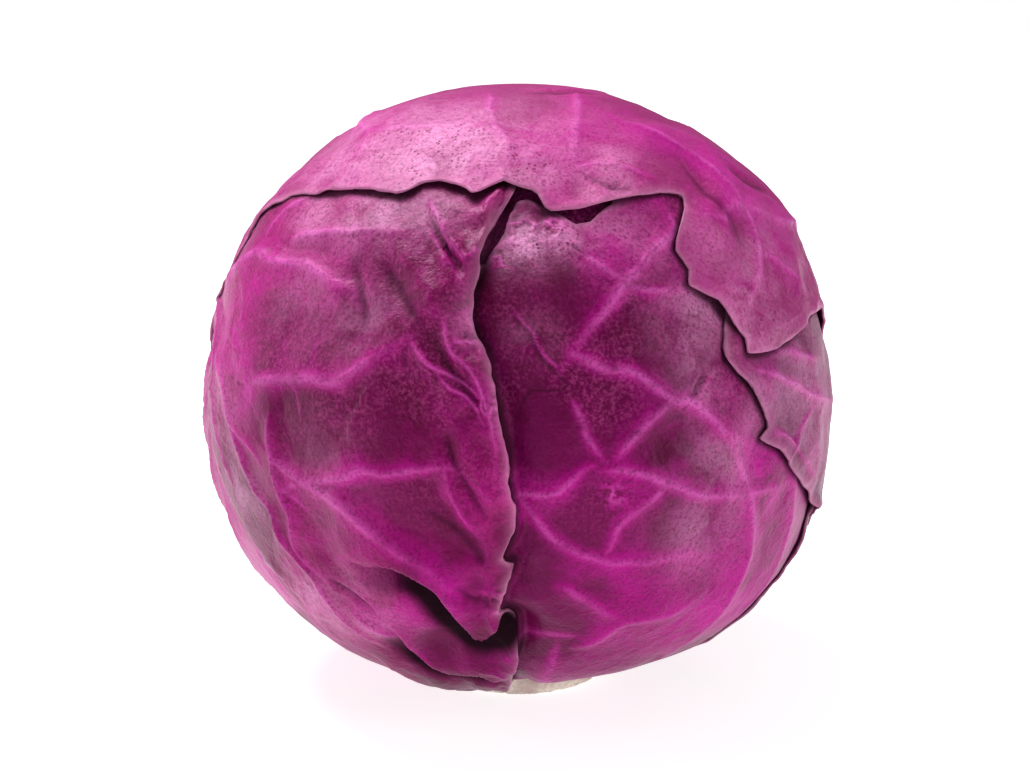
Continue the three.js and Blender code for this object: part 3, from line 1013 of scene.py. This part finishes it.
def stem_mesh():
    """The cut stump: a flat, slightly rough cut face, and a rough, torn rim."""
    around, rings = 220, 44
    noise = Noise(21)
    top = STEM_HEIGHT + STEM_HIDDEN
    angle = np.linspace(0, 2 * math.pi, around, endpoint=False)
    circle = np.stack([np.cos(angle), np.sin(angle), np.zeros(around)], 1)
    wave = 1 + 0.02 * noise(circle, 60.0, 2) + 0.006 * noise(circle + 4, 4.0, 2)
    profile = [(share * CUT_SHARE, 0.0) for share in np.linspace(0, 1, rings + 1)[1:]]
    for share in np.linspace(0, 1, 16):
        rounding = math.sin(min(1, share * 3) * math.pi / 2)
        flare = CUT_SHARE + (1 - CUT_SHARE) * rounding + 0.055 * share
        profile.append((flare, 0.4 + share * (top - 0.4)))
    rows = []
    for share, height in profile:
        ring = circle * (STEM_RADIUS * share * wave)[:, None]
        rough = noise(circle * share + height * 0.02, 3.0, 3)
        torn = noise(circle * share + 7, 6.0, 2)
        ring[:, 2] = height
        if height == 0.0:
            ring[:, 2] = 0.25 * np.maximum(rough, 0) * min(1, 6 * share)
        else:
            ring[:, :2] *= (1 + 0.018 * rough)[:, None]
            ring[:, 2] = np.minimum(ring[:, 2] + 0.5 * torn * (height < 3), top)
        rows.append(ring)
    points = np.concatenate(rows + [np.array([[0, 0, 0.0], [0, 0, top]])]) * MM
    points[:, 2] = np.maximum(points[:, 2], 0)
    faces = ring_faces(len(rows), around, len(points) - 2, len(points) - 1)
    return make_object("stem_stump", points, faces)


# ----------------------------------------------------------------------
# Materials.


class Nodes:
    """A short way to wire a material's nodes. Places are the object's own, in metres."""

    def __init__(self, name):
        self.material = bpy.data.materials.new(name)
        self.material.use_nodes = True
        self.tree = self.material.node_tree
        self.tree.nodes.clear()
        self.shader = self.add("BsdfPrincipled")
        self.add("OutputMaterial", Surface=self.shader.outputs[0])
        self.position = self.add("TexCoord").outputs["Object"]

    def add(self, kind, **inputs):
        """A new node with inputs given by name, with _ for a space: a socket is linked."""
        node = self.tree.nodes.new("ShaderNode" + kind)
        for name, value in inputs.items():
            self.connect(value, node.inputs[name.replace("_", " ")])
        return node

    def connect(self, value, socket):
        if isinstance(value, bpy.types.NodeSocket):
            self.tree.links.new(value, socket)
        else:
            socket.default_value = value

    def attribute(self, name):
        node = self.add("Attribute")
        node.attribute_name = name
        return node.outputs["Fac"]

    def noise(self, scale, detail=3.0, roughness=0.55, distortion=0.0):
        node = self.add("TexNoise", Vector=self.position, Scale=scale, Detail=detail,
                        Roughness=roughness, Distortion=distortion)
        return node.outputs["Fac"]

    def spots(self, scale, low, high):
        """1 in round spots around scattered points, 0 between them."""
        node = self.add("TexVoronoi", Vector=self.position, Scale=scale)
        return self.ramp(node.outputs["Distance"], high, low)

    def height(self):
        """How high the surface is above the floor, in metres."""
        return self.add("SeparateXYZ", Vector=self.position).outputs["Z"]

    def ramp(self, value, low, high):
        """0 at low and 1 at high, or the other way round when low is the larger."""
        node = self.add("MapRange", Value=value, From_Min=min(low, high), From_Max=max(low, high),
                        To_Min=float(low > high), To_Max=float(low < high))
        node.interpolation_type = "SMOOTHSTEP"
        return node.outputs["Result"]

    def math(self, operation, a, b):
        node = self.add("Math")
        node.operation = operation
        self.connect(a, node.inputs[0])
        self.connect(b, node.inputs[1])
        return node.outputs[0]

    def plus(self, a, b):
        return self.math("ADD", a, b)

    def times(self, *values):
        result = values[0]
        for value in values[1:]:
            result = self.math("MULTIPLY", result, value)
        return result

    def mix(self, share, a, b):
        node = self.add("Mix")
        node.data_type = "RGBA"
        self.connect(share, node.inputs[0])
        self.connect(a, node.inputs[6])
        self.connect(b, node.inputs[7])
        return node.outputs[2]

    def bump(self, height, distance, strength, **below):
        """A bumped normal; Normal= is the one that it is laid over."""
        return self.add("Bump", Height=height, Distance=distance, Strength=strength, **below).outputs[0]

    def finish(self, **settings):
        """Set the shader's inputs by name, and return the material."""
        for name, value in settings.items():
            self.connect(value, self.shader.inputs[name.replace("_", " ")])
        return self.material


def colour(red, green, blue):
    """A display colour of 0 to 255 as the linear colour that shaders use."""
    linear = [(part / 255) ** 2.2 for part in (red, green, blue)]
    return (*linear, 1.0)


WAX_AND_SHEEN_PINK = colour(224, 150, 198)
VEIN_PINK = colour(214, 96, 184)
VEIN_FLANK = colour(172, 14, 128)
DUSTY_PINK = colour(186, 72, 138)
BRIGHT_MAGENTA = colour(180, 12, 136)
PAINTED_SHADOW = colour(22, 0, 9)
SPECKLE = colour(96, 12, 52)
TORN_EDGE = colour(206, 140, 176)


def blade_colour(nodes, blade, shade):
    """The blade between its two colours, with magenta places and painted shade in its hollows."""
    broad = nodes.ramp(nodes.noise(22.0, 2.0, 0.5), 0.36, 0.66)
    base = nodes.mix(broad, shade, blade)
    mottle = nodes.ramp(nodes.noise(140.0, 4.0, 0.6, 0.4), 0.32, 0.72)
    base = nodes.mix(nodes.times(mottle, 0.35), base, BRIGHT_MAGENTA)
    places = nodes.times(nodes.attribute("magenta"), nodes.ramp(nodes.noise(70.0, 3.0), 0.3, 0.6))
    base = nodes.mix(places, base, BRIGHT_MAGENTA)
    # Painted shade: the lower the relief, the more of the shade colour.
    raised = nodes.ramp(nodes.attribute("raise"), -0.3, 0.55)
    return nodes.mix(nodes.times(nodes.math("SUBTRACT", 1.0, raised), 0.75), base, shade)


def add_veins(nodes, base, upper):
    """Magenta flanks and paler cores, worn away in places and fainter low down."""
    worn = nodes.ramp(nodes.noise(110.0, 4.0, 0.6), 0.28, 0.62)
    worn = nodes.plus(nodes.times(worn, 0.7), 0.3)
    vein = nodes.attribute("vein")
    base = nodes.mix(nodes.times(nodes.ramp(vein, 0.04, 0.4), worn, 0.6), base, VEIN_FLANK)
    core = nodes.times(nodes.ramp(vein, 0.25, 1.0), worn, 0.6)
    core = nodes.times(core, nodes.plus(nodes.times(upper, 0.5), 0.5))
    return nodes.mix(core, base, VEIN_PINK)


def add_wax_and_sheen(nodes, base, wax_and_sheen):
    """Patches of grey pink, a little grainy: partly real wax, partly painted sheen."""
    grain = nodes.ramp(nodes.noise(900.0, 2.0, 0.6), 0.3, 0.6)
    grain = nodes.plus(nodes.times(grain, 0.35), 0.65)
    return nodes.mix(nodes.times(wax_and_sheen, grain), base, WAX_AND_SHEEN_PINK)


def add_specks(nodes, base, upper, shade):
    """Fine pink dust on the upper part, darker pores, and dark specks, most of them in the waxy places.
    """
    dust = nodes.ramp(nodes.noise(1050.0, 3.0, 0.7), 0.42, 0.64)
    dusty = nodes.ramp(nodes.noise(48.0, 3.0, 0.6), 0.36, 0.6)
    base = nodes.mix(nodes.times(dust, dusty, upper, 0.36), base, DUSTY_PINK)
    pores = nodes.ramp(nodes.noise(1250.0, 2.0, 0.5), 0.5, 0.36)
    base = nodes.mix(nodes.times(pores, 0.4), base, shade)
    scattered = nodes.ramp(nodes.noise(420.0, 2.0), 0.44, 0.58)
    share = nodes.plus(nodes.times(nodes.attribute("wax_and_sheen"), 0.6), 0.18)
    return nodes.mix(nodes.times(nodes.spots(900.0, 0.2, 0.42), scattered, share), base, SPECKLE)


def leaf_material(name, blade, shade):
    """A waxy leaf: mottled blade, paler veins, wax and painted sheen with dark specks, painted shade in
    folds and creases.
    """
    nodes = Nodes(name)
    upper = nodes.ramp(nodes.height(), 0.045, 0.1)
    patchy = nodes.ramp(nodes.noise(60.0, 5.0, 0.65, 0.6), 0.30, 0.62)
    wax_and_sheen = nodes.times(nodes.attribute("wax_and_sheen"), patchy, 0.68)
    dark = nodes.attribute("dark")
    base = blade_colour(nodes, blade, shade)
    base = add_veins(nodes, base, upper)
    base = add_wax_and_sheen(nodes, base, wax_and_sheen)
    base = add_specks(nodes, base, upper, shade)
    base = nodes.mix(nodes.times(nodes.attribute("edge"), 0.45), base, TORN_EDGE)
    # Painted shadow: mixed towards near black where the dark map is high.
    base = nodes.mix(dark, base, PAINTED_SHADOW)

    rough = nodes.plus(nodes.times(nodes.noise(80.0, 3.0), 0.2), 0.28)
    rough = nodes.plus(rough, nodes.times(wax_and_sheen, 0.12))
    rough = nodes.plus(rough, nodes.times(dark, 0.5))
    skin = nodes.bump(nodes.noise(1300.0, 3.0, 0.6), 0.0002, 0.8)
    ripple = nodes.bump(nodes.noise(260.0, 4.0, 0.62, 0.5), 0.0008, 0.6, Normal=skin)
    return nodes.finish(
        Base_Color=base,
        Roughness=rough,
        Normal=ripple,
        Specular_IOR_Level=0.2,
        Specular_Tint=(1.0, 0.38, 0.76, 1.0),
        Subsurface_Weight=0.05,
        Subsurface_Radius=(1.0, 0.15, 0.5),
        Subsurface_Scale=0.003,
    )


def stem_material():
    """Pale, dry, cut plant tissue: fibres, brown stains and a pink tinge in places."""
    nodes = Nodes("cut_stem_tissue")
    fibre = nodes.noise(420.0, 5.0, 0.7, 1.5)
    stain = nodes.ramp(nodes.noise(90.0, 4.0, 0.6), 0.42, 0.66)
    base = nodes.mix(nodes.ramp(fibre, 0.3, 0.7), colour(214, 196, 180), colour(248, 240, 228))
    base = nodes.mix(nodes.times(stain, 0.5), base, colour(160, 128, 108))
    tinge = nodes.ramp(nodes.noise(45.0, 2.0), 0.5, 0.7)
    base = nodes.mix(nodes.times(tinge, 0.35), base, colour(206, 160, 180))
    return nodes.finish(Base_Color=base, Roughness=0.85, Normal=nodes.bump(fibre, 0.0008, 0.9))


# Each leaf's blade colour and its darker colour, for random darker tone, pores and painted shade in the
# hollows.
PALETTE = {
    "left_back_leaf": (colour(138, 8, 88), colour(100, 3, 58)),
    "right_wrapper_leaf": (colour(142, 12, 102), colour(78, 1, 46)),
    "left_wrapper_leaf": (colour(142, 22, 94), colour(84, 4, 50)),
    "right_back_leaf": (colour(100, 20, 66), colour(62, 8, 38)),
    "right_side_leaf": (colour(134, 50, 96), colour(90, 22, 62)),
    "crown_leaf": (colour(172, 50, 126), colour(126, 28, 84)),
}


def add_piece(piece, node, material):
    piece.data.materials.append(material)
    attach(piece, "root")
    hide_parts(node)


for name, leaf in LEAVES.items():
    blade, shade = PALETTE[name]
    add_piece(leaf_mesh(name), name, leaf_material(name + "_skin", blade, shade))
# The inner leaves are darker than the outer ones and mixed towards the painted-shadow colour: painted
# shade for the gaps they show through.
shaded_inner_skin = leaf_material("shaded_inner_leaf_skin", colour(110, 14, 66), PAINTED_SHADOW)
add_piece(heart_mesh(), "heart", shaded_inner_skin)
add_piece(stem_mesh(), "stem", stem_material())

# ----------------------------------------------------------------------
# Floor, light and camera, in metres.

FLOOR_RADIUS = 1.4
FLOOR_SIDES = 96
WALL_LIGHT = 0.16
CEILING_LIGHT = 0.4
CENTRE = (0.0, 0.0, CENTRE_HEIGHT * MM)
LAMP_SIZE = 0.5
LAMPS = {
    "overhead_softbox": dict(location=(-0.32, 0.24, 0.95), size=1.1 * LAMP_SIZE, power=13.0),
    "left_strip": dict(location=(-1.0, 0.05, 0.3), size=LAMP_SIZE, power=2.6),
    "right_softbox": dict(location=(0.95, -0.45, 0.35), size=LAMP_SIZE, power=4.2),
    "front_fill": dict(location=(-0.25, -1.1, 0.5), size=LAMP_SIZE, power=0.8),
}
VIEW_ELEVATION = 15.5
VIEW_DISTANCE = 0.6366
FRAMING = (-0.0012, 0.0005)      # how far right and up the camera stands off the head's centre


def make_floor():
    mesh = bpy.data.meshes.new("floor")
    turns = [2 * math.pi * number / FLOOR_SIDES for number in range(FLOOR_SIDES)]
    corners = [(FLOOR_RADIUS * math.cos(turn), FLOOR_RADIUS * math.sin(turn), 0) for turn in turns]
    mesh.from_pydata(corners, [], [tuple(range(FLOOR_SIDES))])
    floor = bpy.data.objects.new("floor", mesh)
    bpy.context.scene.collection.objects.link(floor)
    paper = Nodes("white_paper").finish(
        Base_Color=(0.6, 0.6, 0.6, 1),
        Roughness=0.9,
        Specular_IOR_Level=0.1,
        Emission_Color=(1, 1, 1, 1),
        Emission_Strength=0.76,
    )
    mesh.materials.append(paper)


def aim(thing, target):
    direction = Vector(target) - thing.location
    thing.rotation_euler = direction.to_track_quat("-Z", "Y").to_euler()


def make_lamp(name, location, size, power):
    data = bpy.data.lights.new(name, "AREA")
    data.shape = "DISK"
    data.size = size
    data.energy = power
    lamp = bpy.data.objects.new(name, data)
    lamp.location = location
    aim(lamp, CENTRE)
    bpy.context.scene.collection.objects.link(lamp)


def make_world():
    """White to look at; as a light, bright overhead and dimmer towards the floor."""
    world = bpy.data.worlds.new("white_room")
    world.use_nodes = True
    tree = world.node_tree
    background = tree.nodes["Background"]
    background.inputs["Color"].default_value = (1, 1, 1, 1)
    coordinates = tree.nodes.new("ShaderNodeTexCoord")
    split = tree.nodes.new("ShaderNodeSeparateXYZ")
    tree.links.new(coordinates.outputs["Generated"], split.inputs[0])
    gradient = tree.nodes.new("ShaderNodeMapRange")
    gradient.interpolation_type = "SMOOTHSTEP"
    tree.links.new(split.outputs["Z"], gradient.inputs["Value"])
    gradient.inputs["From Min"].default_value = -0.1
    gradient.inputs["From Max"].default_value = 0.9
    gradient.inputs["To Min"].default_value = WALL_LIGHT
    gradient.inputs["To Max"].default_value = CEILING_LIGHT
    path = tree.nodes.new("ShaderNodeLightPath")
    choice = tree.nodes.new("ShaderNodeMix")
    choice.data_type = "FLOAT"
    tree.links.new(path.outputs["Is Camera Ray"], choice.inputs[0])
    tree.links.new(gradient.outputs["Result"], choice.inputs[2])
    choice.inputs[3].default_value = 1.0
    tree.links.new(choice.outputs[0], background.inputs["Strength"])
    bpy.context.scene.world = world


def make_camera():
    data = bpy.data.cameras.new("camera")
    data.lens = 85
    data.sensor_width = 36
    camera = bpy.data.objects.new("camera", data)
    tilt = math.radians(VIEW_ELEVATION)
    across, up = FRAMING
    target = (across, up * math.sin(tilt), CENTRE[2] + up * math.cos(tilt))
    camera.location = (
        target[0],
        target[1] - VIEW_DISTANCE * math.cos(tilt),
        target[2] + VIEW_DISTANCE * math.sin(tilt),
    )
    aim(camera, target)
    bpy.context.scene.collection.objects.link(camera)
    bpy.context.scene.camera = camera


make_floor()
make_world()
for name, lamp in LAMPS.items():
    make_lamp(name, **lamp)
make_camera()
bpy.context.scene.view_settings.view_transform = "Standard"
